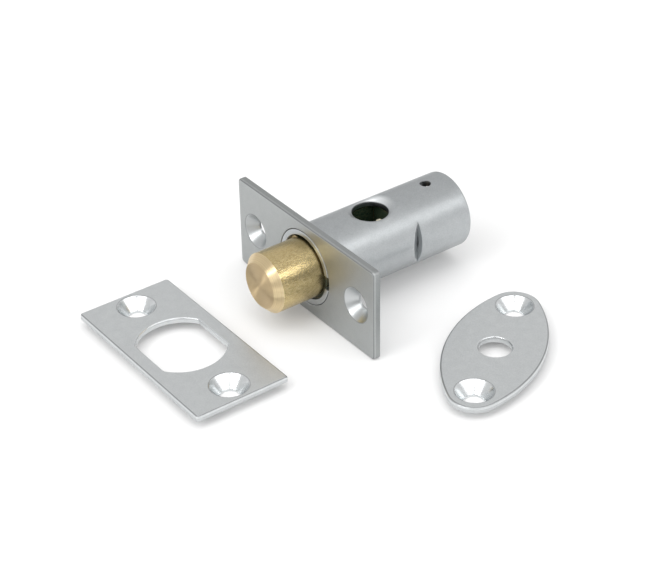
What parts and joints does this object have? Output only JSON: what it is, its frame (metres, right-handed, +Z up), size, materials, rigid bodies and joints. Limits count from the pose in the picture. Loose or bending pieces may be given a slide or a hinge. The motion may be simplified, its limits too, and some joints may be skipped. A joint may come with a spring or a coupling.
{
  "type": "window security bolt",
  "caption": "Key-operated mortice rack bolt for a window frame: round brass bolt in a tubular barrel with a faceplate, with its keep plate and oval key escutcheon.",
  "frame": {"origin": "centre of the faceplate's front face, on the bolt's axis", "axes": "+Y back along the barrel, the way the bolt withdraws; +Z up, out of the key hole; +X along the faceplate"},
  "size_m": [0.0718, 0.0747, 0.02],
  "materials": {
    "plate_steel": "satin plated",
    "barrel_steel": "satin plated tube",
    "bolt_brass": "turned, drawn bar"
  },
  "bodies": {
    "case": {"faceplate": "plate_steel", "barrel": "barrel_steel", "keep_plate": "plate_steel", "escutcheon": "plate_steel"},
    "bolt": {"bolt": "bolt_brass"}
  },
  "joints": [
    {"name": "bolt_slide", "type": "slide", "parent": "case", "child": "bolt", "axis": [0, 1, 0], "range_m": [0, 0.0107]}
  ]
}
